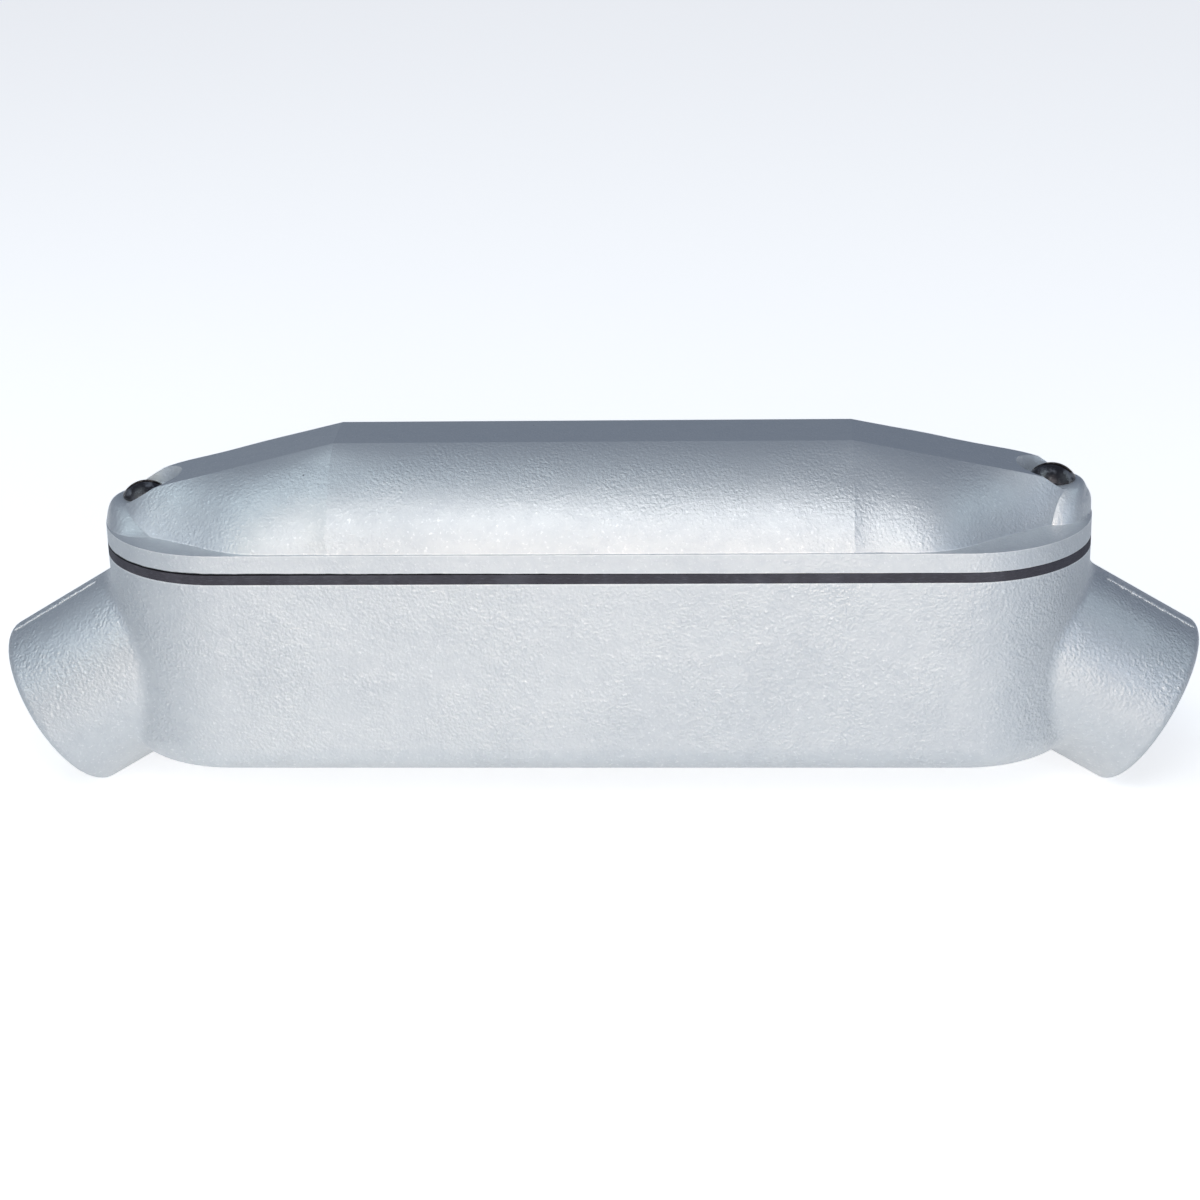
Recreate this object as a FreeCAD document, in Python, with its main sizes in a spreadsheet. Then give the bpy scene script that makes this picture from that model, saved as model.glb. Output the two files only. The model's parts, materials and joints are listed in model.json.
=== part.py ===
# Two-hub cast conduit body with a gasketed dome cover.
#
# The body is a long box with round ends, open at the top.  A threaded hub leaves each
# end, turned down and away from the cover.  A flat gasket and a hollow dome cover close
# the opening, and one slotted screw at each end holds the cover down.
#
# Frame: origin at the bottom centre of the whole part, +X along its length, +Z up
# through the cover.  Sizes are millimetres and degrees.

import FreeCAD, Part
import math
import os
import Sketcher

SIZES = {
    # Body: outside, walls and draft
    "body_length": 320.0,
    "body_width": 82.0,
    "body_depth": 67.0,
    "body_wall": 5.0,
    "body_floor": 5.0,
    "body_draft": 1.0,
    "bottom_rounding": 10.0,
    "cavity_rounding": 6.0,
    # Hubs: a tube on an inclined axis, with a thread and an inner lip
    "hub_angle": 31.0,
    "hub_diameter": 60.0,
    "hub_length": 40.3,
    "hub_inset": 13.0,
    "hub_drop": 36.4,
    "hub_rounding": 3.0,
    "hub_blend": 6.0,
    "thread_bore": 44.2,
    "thread_length": 20.0,
    "lip_bore": 41.0,
    "mouth_chamfer": 1.5,
    # Screw bosses inside the body's ends
    "screw_inset": 13.0,
    "boss_width": 19.0,
    "boss_depth": 11.0,
    # Gasket: a flat ring with a tab at each screw
    "gasket_thickness": 3.2,
    "gasket_width": 7.0,
    # Cover: flange, hollow dome and screw noses
    "flange_thickness": 6.5,
    "dome_rise": 34.0,
    "dome_flat_length": 166.0,
    "dome_flat_width": 22.0,
    "dome_ledge": 1.0,
    "dome_crown_radius": 40.0,
    "taper_length": 48.0,
    "cover_wall": 5.0,
    "taper_easing": 4.0,
    "nose_radius": 12.8,
    "nose_rounding": 7.0,
    "spot_face_width": 20.0,
    "recess_draft": 14.0,
    # Each end of the cover has its own slope, taper and screw seat
    "left_end_slope": 14.0,
    "right_end_slope": 11.7,
    "left_taper_offset": 17.0,
    "right_taper_offset": 11.0,
    "left_screw_seat": 12.5,
    "right_screw_seat": 16.8,
    # Cover screws
    "screw_diameter": 7.9,
    "screw_length": 27.0,
    "screw_head_width": 15.0,
    "screw_head_height": 5.4,
    "screw_head_edge": 1.2,
    "screw_tip": 1.0,
    "slot_width": 2.0,
    "slot_depth": 2.8,
    "left_slot_turn": 8.0,
    "right_slot_turn": -14.0,
    # Clearances
    "tapped_hole_clearance": 0.3,
    "screw_hole_clearance": 0.9,
}

# Derived places, as expressions on the sheet.
HALF_LENGTH = "Sizes.body_length / 2"
HALF_WIDTH = "Sizes.body_width / 2"
MOUTH_REACH = f"({HALF_LENGTH} - Sizes.hub_inset + Sizes.hub_length * cos(Sizes.hub_angle))"
MOUTH_DROP = "(Sizes.hub_drop + Sizes.hub_length * sin(Sizes.hub_angle))"
HUB_RADIUS = "Sizes.hub_diameter / 2"
# A hub starts inside the body, at a share of the way up its axis to where its upper
# edge would meet the seat.
ROOT_SHARE = 0.75
HUB_UPPER_EDGE = f"(Sizes.hub_drop - {HUB_RADIUS} * cos(Sizes.hub_angle))"
HUB_ROOT_DEPTH = f"({ROOT_SHARE} * {HUB_UPPER_EDGE} / sin(Sizes.hub_angle))"
HUB_ROOT = f"-(Sizes.hub_length + {HUB_ROOT_DEPTH})"
# The lowest point of a hub's rounded rim, below the seat of the cover.
SEAT_HEIGHT = (
    f"({MOUTH_DROP} - Sizes.hub_rounding * sin(Sizes.hub_angle)"
    f" + ({HUB_RADIUS} - Sizes.hub_rounding) * cos(Sizes.hub_angle) + Sizes.hub_rounding)"
)
COVER_HEIGHT = f"({SEAT_HEIGHT} + Sizes.gasket_thickness)"
SCREW_REACH = f"({HALF_LENGTH} - Sizes.screw_inset)"
FLAT_REACH = "Sizes.dome_flat_length / 2"
TAPER_START = f"({HALF_LENGTH} - Sizes.taper_length)"
DOME_HALF_WIDTH = f"({HALF_WIDTH} - Sizes.dome_ledge)"
SCREW_HOLE_RADIUS = "(Sizes.screw_diameter + Sizes.screw_hole_clearance) / 2"
TAPER_RUN = f"({SCREW_REACH} - {TAPER_START})"
NOSE_REACH = f"({SCREW_REACH} + Sizes.nose_radius / 2)"
STRIP = "Sizes.dome_flat_width / 2"
INNER_STRIP = "(Sizes.dome_flat_width / 2 - Sizes.cover_wall / 2)"
INNER_CROWN = "(Sizes.dome_crown_radius - Sizes.cover_wall)"

# The two ends, and the shares of an end's run at which its surfaces are set out.
SIDES = (("left", -1), ("right", 1))
END_SHARES = (0.0, 0.2, 0.35, 0.45, 0.6, 0.8)
HOLLOW_SHARES = (0.0, 0.34, 0.67, 1.0)

doc = FreeCAD.newDocument("ConduitBody")


def make_sheet():
    """Spreadsheet of the driving sizes, one alias to a row."""
    sheet = doc.addObject("Spreadsheet::Sheet", "Sizes")
    for row, (alias, value) in enumerate(SIZES.items(), start=1):
        sheet.set(f"A{row}", alias)
        sheet.set(f"B{row}", str(value))
        sheet.setAlias(f"B{row}", alias)
    doc.recompute()
    return sheet


sheet = make_sheet()


def number(expression):
    """Present value of an expression on the sheet, in plain millimetres or degrees."""
    value = sheet.evalExpression(expression)
    return float(getattr(value, "Value", value))


def origin_feature(body, role):
    """Origin plane or axis of a body by its role."""
    return next(item for item in body.Origin.OriginFeatures if item.Role == role)


def new_body(label, height, reach="0", turn="0"):
    """Body whose own origin stands at a height and a reach along the part."""
    body = doc.addObject("PartDesign::Body", label)
    body.Label = label
    body.setExpression("Placement.Base.x", reach)
    body.setExpression("Placement.Base.z", height)
    body.setExpression("Placement.Rotation.Angle", turn)
    return body


def new_sketch(body, name, role, offset_x="0", offset_y="0", offset_z="0", turn="0"):
    """Sketch on an origin plane of its body, moved and turned within that plane."""
    sketch = body.newObject("Sketcher::SketchObject", name)
    sketch.AttachmentSupport = [(origin_feature(body, role), "")]
    sketch.MapMode = "FlatFace"
    sketch.setExpression("AttachmentOffset.Base.x", offset_x)
    sketch.setExpression("AttachmentOffset.Base.y", offset_y)
    sketch.setExpression("AttachmentOffset.Base.z", offset_z)
    sketch.setExpression("AttachmentOffset.Rotation.Angle", turn)
    return sketch


def bind(sketch, kind, elements, expression):
    """Dimension of a sketch that follows an expression."""
    index = sketch.addConstraint(Sketcher.Constraint(kind, *elements, number(expression)))
    sketch.setExpression(f"Constraints[{index}]", expression)


def place(sketch, element, end, x, y):
    """Point of a sketch held at two expressions from the sketch's origin."""
    for kind, expression in (("DistanceX", x), ("DistanceY", y)):
        if number(expression) == 0:
            axis = -2 if kind == "DistanceX" else -1
            sketch.addConstraint(Sketcher.Constraint("PointOnObject", element, end, axis))
        else:
            bind(sketch, kind, (-1, 1, element, end), expression)


def outward_arc(start, finish, radius):
    """Arc between two points of a counterclockwise outline, bulging out of it."""
    chord = finish - start
    half = chord.Length / 2
    sagitta = radius - math.sqrt(radius ** 2 - half ** 2)
    outward = FreeCAD.Vector(chord.y, -chord.x, 0).normalize()
    return Part.Arc(start, (start + finish) * 0.5 + outward * sagitta, finish)


def outline(sketch, points, arcs=None):
    """Closed counterclockwise outline through points given as expressions.

    arcs maps the number of a point to the radius of the arc that leaves it.
    """
    arcs = arcs or {}
    corners = [FreeCAD.Vector(number(x), number(y), 0) for x, y in points]
    for index, start in enumerate(corners):
        finish = corners[(index + 1) % len(corners)]
        if index in arcs:
            sketch.addGeometry(outward_arc(start, finish, number(arcs[index])), False)
        else:
            sketch.addGeometry(Part.LineSegment(start, finish), False)
    for index, (x, y) in enumerate(points):
        before = (index - 1) % len(points)
        sketch.addConstraint(Sketcher.Constraint("Coincident", before, 2, index, 1))
        place(sketch, index, 1, x, y)
    for index, radius in arcs.items():
        bind(sketch, "Radius", (index,), radius)


def stadium(sketch, half_length, radius):
    """Outline with two long sides and two half-round ends, about the origin."""
    reach = number(f"{half_length} - {radius}")
    round_radius = number(radius)
    low = FreeCAD.Vector(0, -round_radius, 0)
    high = FreeCAD.Vector(0, round_radius, 0)
    right = FreeCAD.Vector(reach, 0, 0)
    outward = FreeCAD.Vector(round_radius, 0, 0)
    bottom = sketch.addGeometry(Part.LineSegment(low - right, low + right), False)
    east = sketch.addGeometry(Part.Arc(low + right, right + outward, high + right), False)
    top = sketch.addGeometry(Part.LineSegment(high + right, high - right), False)
    west = sketch.addGeometry(Part.Arc(high - right, right * -1 - outward, low - right), False)
    sketch.addConstraint(Sketcher.Constraint("Tangent", bottom, 2, east, 1))
    sketch.addConstraint(Sketcher.Constraint("Tangent", east, 2, top, 1))
    sketch.addConstraint(Sketcher.Constraint("Tangent", top, 2, west, 1))
    sketch.addConstraint(Sketcher.Constraint("Tangent", west, 2, bottom, 1))
    sketch.addConstraint(Sketcher.Constraint("Horizontal", bottom))
    sketch.addConstraint(Sketcher.Constraint("PointOnObject", east, 3, -1))
    sketch.addConstraint(Sketcher.Constraint("PointOnObject", west, 3, -1))
    bind(sketch, "Radius", (east,), radius)
    bind(sketch, "DistanceX", (-1, 1, east, 3), f"{half_length} - {radius}")
    bind(sketch, "DistanceX", (west, 3, -1, 1), f"{half_length} - {radius}")


def circle(sketch, x, radius):
    """Circle on the sketch's horizontal axis."""
    centre = FreeCAD.Vector(number(x), 0, 0)
    index = sketch.addGeometry(
        Part.Circle(centre, FreeCAD.Vector(0, 0, 1), number(radius)), False
    )
    place(sketch, index, 3, x, "0")
    bind(sketch, "Radius", (index,), radius)


def tongue(sketch, centre, finish, half_width):
    """Outline with a half-round inner end and straight sides out to a finish."""
    radius = number(half_width)
    centre_x = number(centre)
    finish_x = number(finish)
    round_top = FreeCAD.Vector(centre_x, radius, 0)
    round_low = FreeCAD.Vector(centre_x, -radius, 0)
    outer_top = FreeCAD.Vector(finish_x, radius, 0)
    outer_low = FreeCAD.Vector(finish_x, -radius, 0)
    inner = FreeCAD.Vector(centre_x - radius, 0, 0)
    bend = sketch.addGeometry(Part.Arc(round_top, inner, round_low), False)
    low = sketch.addGeometry(Part.LineSegment(round_low, outer_low), False)
    outer = sketch.addGeometry(Part.LineSegment(outer_low, outer_top), False)
    top = sketch.addGeometry(Part.LineSegment(outer_top, round_top), False)
    sketch.addConstraint(Sketcher.Constraint("Tangent", bend, 2, low, 1))
    sketch.addConstraint(Sketcher.Constraint("Coincident", low, 2, outer, 1))
    sketch.addConstraint(Sketcher.Constraint("Coincident", outer, 2, top, 1))
    sketch.addConstraint(Sketcher.Constraint("Tangent", top, 2, bend, 1))
    sketch.addConstraint(Sketcher.Constraint("Vertical", outer))
    sketch.addConstraint(Sketcher.Constraint("Horizontal", low))
    place(sketch, bend, 3, centre, "0")
    bind(sketch, "Radius", (bend,), half_width)
    bind(sketch, "DistanceX", (-1, 1, outer, 1), finish)


def feature(body, kind, name, profile, **settings):
    """Part design feature on a sketch, with sizes given as expressions."""
    item = body.newObject(f"PartDesign::{kind}", name)
    item.Profile = profile
    for key, value in settings.items():
        if isinstance(value, str) and key in ("Length", "TaperAngle"):
            item.setExpression(key, value)
        else:
            setattr(item, key, value)
    doc.recompute()
    return item


def revolved(body, kind, name, profile, axis):
    """Full turn of a sketch about one of its own axes."""
    item = body.newObject(f"PartDesign::{kind}", name)
    item.Profile = profile
    item.ReferenceAxis = (profile, [axis])
    item.Angle = 360
    doc.recompute()
    return item


def mirrored(body, name, originals):
    """The same features on the other end of the part."""
    item = body.newObject("PartDesign::Mirrored", name)
    item.Originals = originals
    item.MirrorPlane = (origin_feature(body, "YZ_Plane"), [""])
    body.Tip = item
    doc.recompute()
    return item


def edges_where(item, test):
    """Names of the edges of a feature's shape that pass a test."""
    return [
        f"Edge{index}"
        for index, edge in enumerate(item.Shape.Edges, start=1)
        if test(edge)
    ]


def rounded(body, name, base, test, radius):
    """Fillet along the edges of a feature that pass a test."""
    item = body.newObject("PartDesign::Fillet", name)
    item.Base = (base, edges_where(base, test))
    item.setExpression("Radius", radius)
    doc.recompute()
    return item


def level_edge(height):
    """Test for edges that lie flat at a height of the body's own frame."""
    def test(edge):
        box = edge.BoundBox
        return abs(box.ZMin - height) < 0.01 and abs(box.ZMax - height) < 0.01
    return test


def body_casting():
    """Body, hubs and screw bosses, cast in one."""
    body = new_body("body_casting", SEAT_HEIGHT)

    seat = new_sketch(body, "seat_outline", "XY_Plane")
    stadium(seat, HALF_LENGTH, HALF_WIDTH)
    outside = feature(
        body, "Pad", "outside", seat, Length="Sizes.body_depth", Reversed=True,
        TaperAngle="-Sizes.body_draft",
    )
    underside = -number("Sizes.body_depth")
    rounded(body, "bottom_edge", outside, level_edge(underside), "Sizes.bottom_rounding")

    # Each hub is a full turn about its inclined axis, from inside the end wall.
    hub_profile = new_sketch(
        body, "hub_profile", "XZ_Plane", MOUTH_REACH, f"-{MOUTH_DROP}", "0", "-Sizes.hub_angle"
    )
    outline(hub_profile, [
        (HUB_ROOT, "0"),
        ("0", "0"),
        ("0", f"{HUB_RADIUS} - Sizes.hub_rounding"),
        ("-Sizes.hub_rounding", HUB_RADIUS),
        (HUB_ROOT, HUB_RADIUS),
    ], arcs={2: "Sizes.hub_rounding"})
    hub = revolved(body, "Revolution", "hub", hub_profile, "H_Axis")
    both_hubs = mirrored(body, "both_hubs", [hub])

    rounded(body, "hub_blends", both_hubs, hub_seam, "Sizes.hub_blend")

    opening = new_sketch(body, "cavity_outline", "XY_Plane")
    stadium(opening, f"{HALF_LENGTH} - Sizes.body_wall", f"{HALF_WIDTH} - Sizes.body_wall")
    cavity = feature(
        body, "Pocket", "cavity", opening,
        Length="Sizes.body_depth - Sizes.body_floor", TaperAngle="-Sizes.body_draft",
    )
    floor = -number("Sizes.body_depth - Sizes.body_floor")
    rounded(body, "floor_edge", cavity, level_edge(floor), "Sizes.cavity_rounding")

    boss_outline = new_sketch(body, "boss_outline", "XY_Plane")
    tongue(boss_outline, SCREW_REACH, f"{HALF_LENGTH} - Sizes.body_wall / 2", "Sizes.boss_width / 2")
    boss = feature(body, "Pad", "boss", boss_outline, Length="Sizes.boss_depth", Reversed=True)
    tapping = new_sketch(body, "tapping_outline", "XY_Plane")
    circle(tapping, SCREW_REACH, "(Sizes.screw_diameter + Sizes.tapped_hole_clearance) / 2")
    tapped_hole = feature(
        body, "Pocket", "tapped_hole", tapping, Length="Sizes.boss_depth + Sizes.body_wall"
    )

    # Wireway bore: mouth chamfer, thread wall, then the smooth lip to the cavity.
    bore_profile = new_sketch(
        body, "bore_profile", "XZ_Plane", MOUTH_REACH, f"-{MOUTH_DROP}", "0", "-Sizes.hub_angle"
    )
    outline(bore_profile, [
        (f"{HUB_ROOT} - Sizes.body_wall", "0"),
        ("Sizes.mouth_chamfer", "0"),
        ("Sizes.mouth_chamfer", "Sizes.thread_bore / 2 + 2 * Sizes.mouth_chamfer"),
        ("-Sizes.mouth_chamfer", "Sizes.thread_bore / 2"),
        ("-Sizes.thread_length", "Sizes.thread_bore / 2"),
        ("-Sizes.thread_length", "Sizes.lip_bore / 2"),
        (f"{HUB_ROOT} - Sizes.body_wall", "Sizes.lip_bore / 2"),
    ])
    bore = revolved(body, "Groove", "bore", bore_profile, "H_Axis")
    mirrored(body, "far_end", [boss, tapped_hole, bore])
    return body


def hub_seam(edge):
    """Test for the curves where the hubs' round sides meet the body's end."""
    reach = abs(edge.BoundBox.Center.x)
    radii = [face_radius(edge, point) for point in (edge.FirstParameter, edge.LastParameter)]
    on_hub = all(abs(radius - number(HUB_RADIUS)) < 0.01 for radius in radii)
    return on_hub and reach < number(HALF_LENGTH) + 1 and not is_turned(edge)


def face_radius(edge, parameter):
    """Distance of a point of an edge from the nearer hub's axis."""
    point = edge.valueAt(parameter)
    angle = math.radians(number("Sizes.hub_angle"))
    reach = abs(point.x) - number(MOUTH_REACH)
    drop = point.z + number(MOUTH_DROP)
    across = reach * math.sin(angle) + drop * math.cos(angle)
    return math.hypot(across, point.y)


def is_turned(edge):
    """Whether an edge is a circle, as on a hub's rim, or a straight seam line."""
    return edge.Curve.TypeId in ("Part::GeomCircle", "Part::GeomLine")


def gasket():
    """Flat gasket, the outline of the body with a tab and a hole at each screw."""
    body = new_body("gasket", SEAT_HEIGHT)
    outside = new_sketch(body, "outside_outline", "XY_Plane")
    stadium(outside, HALF_LENGTH, HALF_WIDTH)
    feature(body, "Pad", "sheet", outside, Length="Sizes.gasket_thickness")
    inside = new_sketch(body, "window_outline", "XY_Plane")
    stadium(inside, f"{HALF_LENGTH} - Sizes.gasket_width", f"{HALF_WIDTH} - Sizes.gasket_width")
    feature(
        body, "Pocket", "window", inside, Length="Sizes.gasket_thickness", Reversed=True
    )
    tab_outline = new_sketch(body, "tab_outline", "XY_Plane")
    tab_end = f"{HALF_LENGTH} - Sizes.gasket_width / 2"
    tongue(tab_outline, SCREW_REACH, tab_end, "Sizes.boss_width / 2")
    tab = feature(body, "Pad", "tab", tab_outline, Length="Sizes.gasket_thickness")
    hole_outline = new_sketch(body, "hole_outline", "XY_Plane")
    circle(hole_outline, SCREW_REACH, SCREW_HOLE_RADIUS)
    hole = feature(
        body, "Pocket", "hole", hole_outline, Length="Sizes.gasket_thickness", Reversed=True
    )
    mirrored(body, "far_end", [tab, hole])
    return body


def ridge_height(side, reach):
    """Height of the dome's flat strip over the cover's underside at a reach."""
    return f"(Sizes.dome_rise - ({reach} - {FLAT_REACH}) * tan(Sizes.{side}_end_slope))"


def taper_angle(side):
    """Angle of the end taper, which passes the screw's axis at the side's offset."""
    return (
        f"(atan({DOME_HALF_WIDTH} / {TAPER_RUN}) - asin(Sizes.{side}_taper_offset"
        f" / sqrt({DOME_HALF_WIDTH} ^ 2 + {TAPER_RUN} ^ 2)))"
    )


def foot_half_width(side, reach):
    """Half width of the dome's foot, straight sides easing into the end taper."""
    past = f"({reach} - {TAPER_START})"
    eased = f"({past} + sqrt({past} ^ 2 + Sizes.taper_easing ^ 2)) / 2"
    return f"({DOME_HALF_WIDTH} - tan({taper_angle(side)}) * {eased})"


def dome_section(body, name, reach, foot, ridge, strip, crown):
    """Cross-section of a dome: upright foot, crowned sides and a flat strip on top."""
    sketch = new_sketch(body, name, "YZ_Plane", offset_z=reach)
    outline(sketch, [
        (f"-{foot}", "0"),
        (foot, "0"),
        (foot, "Sizes.flange_thickness"),
        (strip, ridge),
        (f"-{strip}", ridge),
        (f"-{foot}", "Sizes.flange_thickness"),
    ], arcs={2: crown, 4: crown})
    return sketch


def loft(body, kind, name, sections):
    """Smooth loft through cross-sections."""
    item = body.newObject(f"PartDesign::{kind}", name)
    item.Profile = sections[0]
    item.Sections = sections[1:]
    item.Ruled = False
    doc.recompute()
    return item


def cover_end(body, side, sign):
    """One sloping end of the dome with its nose, screw recess and screw hole."""
    run = f"({NOSE_REACH} - {FLAT_REACH})"
    sections = []
    for index, share in enumerate(END_SHARES):
        reach = f"({FLAT_REACH} + {share} * {run})"
        sections.append(dome_section(
            body, f"{side}_section_{index}", f"{sign} * {reach}", foot_half_width(side, reach),
            ridge_height(side, reach), STRIP, "Sizes.dome_crown_radius",
        ))
    sections.append(dome_section(
        body, f"{side}_nose_section", f"{sign} * {NOSE_REACH}", foot_half_width(side, NOSE_REACH),
        f"Sizes.{side}_screw_seat", "Sizes.nose_radius / 2", "Sizes.dome_crown_radius",
    ))
    loft(body, "AdditiveLoft", f"{side}_end", sections)

    seat = f"Sizes.{side}_screw_seat"
    reach = f"{sign} * {SCREW_REACH}"
    nose_profile = new_sketch(body, f"{side}_nose_profile", "XZ_Plane", reach)
    outline(nose_profile, [
        ("0", "0"),
        ("Sizes.nose_radius", "0"),
        ("Sizes.nose_radius", f"{seat} - Sizes.nose_rounding"),
        ("Sizes.nose_radius - Sizes.nose_rounding", seat),
        ("0", seat),
    ], arcs={2: "Sizes.nose_rounding"})
    revolved(body, "Revolution", f"{side}_nose", nose_profile, "V_Axis")

    recess_profile = new_sketch(body, f"{side}_recess_profile", "XZ_Plane", reach, seat)
    flare = "Sizes.dome_rise * tan(Sizes.recess_draft)"
    outline(recess_profile, [
        ("0", "0"),
        ("Sizes.spot_face_width / 2", "0"),
        (f"Sizes.spot_face_width / 2 + {flare}", "Sizes.dome_rise"),
        ("0", "Sizes.dome_rise"),
    ])
    revolved(body, "Groove", f"{side}_recess", recess_profile, "V_Axis")

    hole_outline = new_sketch(body, f"{side}_hole_outline", "XY_Plane")
    circle(hole_outline, reach, SCREW_HOLE_RADIUS)
    feature(
        body, "Pocket", f"{side}_hole", hole_outline, Length="Sizes.dome_rise", Reversed=True
    )


def cover_hollow_end(body, side, sign):
    """Hollow of one sloping end, up to a wall's thickness from the screw recess."""
    run = f"({SCREW_REACH} - Sizes.spot_face_width / 2 - Sizes.cover_wall - {FLAT_REACH})"
    sections = []
    for index, share in enumerate(HOLLOW_SHARES):
        reach = f"({FLAT_REACH} + {share} * {run})"
        sections.append(dome_section(
            body, f"{side}_hollow_section_{index}", f"{sign} * {reach}",
            f"({foot_half_width(side, reach)} - Sizes.cover_wall)",
            f"({ridge_height(side, reach)} - Sizes.cover_wall)", INNER_STRIP, INNER_CROWN,
        ))
    loft(body, "SubtractiveLoft", f"{side}_hollow", sections)


def cover_casting():
    """Flanged cover with a hollow dome and a solid nose round each screw."""
    body = new_body("cover_casting", COVER_HEIGHT)
    flange_outline = new_sketch(body, "flange_outline", "XY_Plane")
    stadium(flange_outline, HALF_LENGTH, HALF_WIDTH)
    feature(body, "Pad", "flange", flange_outline, Length="Sizes.flange_thickness")

    middle = dome_section(
        body, "middle_section", "0", DOME_HALF_WIDTH, "Sizes.dome_rise", STRIP,
        "Sizes.dome_crown_radius",
    )
    feature(body, "Pad", "dome_middle", middle, Length="Sizes.dome_flat_length", Midplane=True)
    for side, sign in SIDES:
        cover_end(body, side, sign)

    hollow = dome_section(
        body, "hollow_section", "0", f"({DOME_HALF_WIDTH} - Sizes.cover_wall)",
        "(Sizes.dome_rise - Sizes.cover_wall)", INNER_STRIP, INNER_CROWN,
    )
    feature(
        body, "Pocket", "hollow_middle", hollow, Length="Sizes.dome_flat_length", Midplane=True
    )
    for side, sign in SIDES:
        cover_hollow_end(body, side, sign)
    return body


def cover_screw(side, sign):
    """Slotted round-head screw, standing on the cover's screw seat."""
    height = f"({COVER_HEIGHT} + Sizes.{side}_screw_seat)"
    reach = f"{sign} * {SCREW_REACH}"
    body = new_body(f"cover_screw_{side}", height, reach, f"Sizes.{side}_slot_turn")
    profile = new_sketch(body, "turned_profile", "XZ_Plane")
    radius = "Sizes.screw_diameter / 2"
    head = "Sizes.screw_head_width / 2"
    edge = "Sizes.screw_head_edge"
    crown = f"(Sizes.screw_head_height - {edge})"
    outline(profile, [
        ("0", "-Sizes.screw_length"),
        (f"{radius} - Sizes.screw_tip", "-Sizes.screw_length"),
        (radius, "-Sizes.screw_length + Sizes.screw_tip"),
        (radius, "0"),
        (head, "0"),
        (head, edge),
        ("0", "Sizes.screw_head_height"),
    ], arcs={5: f"(({head}) ^ 2 + {crown} ^ 2) / (2 * {crown})"})
    revolved(body, "Revolution", "turned", profile, "V_Axis")
    slot_outline = new_sketch(body, "slot_outline", "XY_Plane", offset_z="Sizes.screw_head_height")
    half_slot = "(Sizes.slot_width / 2)"
    outline(slot_outline, [
        ("-Sizes.screw_head_width", f"-{half_slot}"),
        ("Sizes.screw_head_width", f"-{half_slot}"),
        ("Sizes.screw_head_width", half_slot),
        ("-Sizes.screw_head_width", half_slot),
    ])
    feature(body, "Pocket", "slot", slot_outline, Length="Sizes.slot_depth")
    return body


def check(parts):
    """Stop if any object failed or any part's shape is not one sound solid."""
    doc.recompute()
    for item in doc.Objects:
        if "Invalid" in item.State or "Error" in item.State:
            raise RuntimeError(f"{item.Name} did not rebuild: {item.State}")
    for part in parts:
        shape = part.Shape
        if shape.isNull() or not shape.isValid() or len(shape.Solids) != 1:
            raise RuntimeError(f"{part.Label} is not one valid solid")


def main_parts():
    """Every separate piece of the conduit body."""
    screws = [cover_screw(side, sign) for side, sign in SIDES]
    return [body_casting(), gasket(), cover_casting(), *screws]


parts = main_parts()
check(parts)
os.makedirs("parts", exist_ok=True)
for part in parts:
    part.Shape.exportStep(f"parts/{part.Label}.step")
    box = part.Shape.BoundBox
    print(part.Label, round(part.Shape.Volume), box)
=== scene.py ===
import bmesh
import bpy
import json
import math
import numpy as np
from mathutils import Matrix, Vector

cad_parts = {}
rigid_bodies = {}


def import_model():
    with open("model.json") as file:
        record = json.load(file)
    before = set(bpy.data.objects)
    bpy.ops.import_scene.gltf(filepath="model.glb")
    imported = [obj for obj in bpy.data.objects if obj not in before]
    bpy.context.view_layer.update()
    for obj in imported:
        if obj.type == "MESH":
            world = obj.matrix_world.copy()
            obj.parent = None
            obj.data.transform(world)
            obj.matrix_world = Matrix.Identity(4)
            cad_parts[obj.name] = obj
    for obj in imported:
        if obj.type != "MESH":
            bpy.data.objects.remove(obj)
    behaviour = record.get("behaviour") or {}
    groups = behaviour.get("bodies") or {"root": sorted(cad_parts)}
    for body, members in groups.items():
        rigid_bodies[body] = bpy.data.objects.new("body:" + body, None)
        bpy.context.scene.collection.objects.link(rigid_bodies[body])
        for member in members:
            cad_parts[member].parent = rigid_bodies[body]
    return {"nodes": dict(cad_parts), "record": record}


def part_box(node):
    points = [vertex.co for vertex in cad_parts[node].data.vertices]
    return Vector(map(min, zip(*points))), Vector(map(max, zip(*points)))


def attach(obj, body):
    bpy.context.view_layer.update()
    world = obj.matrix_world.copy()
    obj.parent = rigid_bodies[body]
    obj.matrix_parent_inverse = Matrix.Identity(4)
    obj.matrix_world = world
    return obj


for leftover in list(bpy.data.objects):
    bpy.data.objects.remove(leftover)

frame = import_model()
for plain in list(bpy.data.materials):
    bpy.data.materials.remove(plain)
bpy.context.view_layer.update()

# ---------------------------------------------------------------------------
# Body casting.  One sand casting in aluminium with both hubs on it, covered in
# aluminium paint over the as-cast skin.  Only the hubs' bores are machined, and
# the paint has worn thin on the edges that get handled.
# ---------------------------------------------------------------------------
body_node = frame["nodes"]["body_casting"]
seat_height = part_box("body_casting")[1].z
mount_left, mount_right = frame["record"]["mounts"]
hub_thread_radius = mount_right["dims"]["r_mm"] / 1000
HUB_RADIUS = 0.030
BORE_DEPTH = 0.034
BORE_MARGIN = 0.0036
BORE_EASING = 0.0006
TURNED_RINGS = 9000.0
PAINT_GREY = (0.712, 0.735, 0.752, 1)
PAINT_SHADE = (0.618, 0.648, 0.680, 1)
PAINT_RUBBED = (0.830, 0.842, 0.852, 1)
# Colour of the painted highlights on the crowns of the grains.
PAINTED_GLINT_HIGHLIGHT = (0.950, 0.960, 0.970, 1)
BORE_METAL = (0.780, 0.790, 0.800, 1)
PAINT_BUMP = 0.00017
PAINT_METALLIC = 0.72
PAINT_ROUGHNESS = 0.46
RUB_WIDTH = 0.0009
RUB_BROKEN = 0.6


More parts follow.
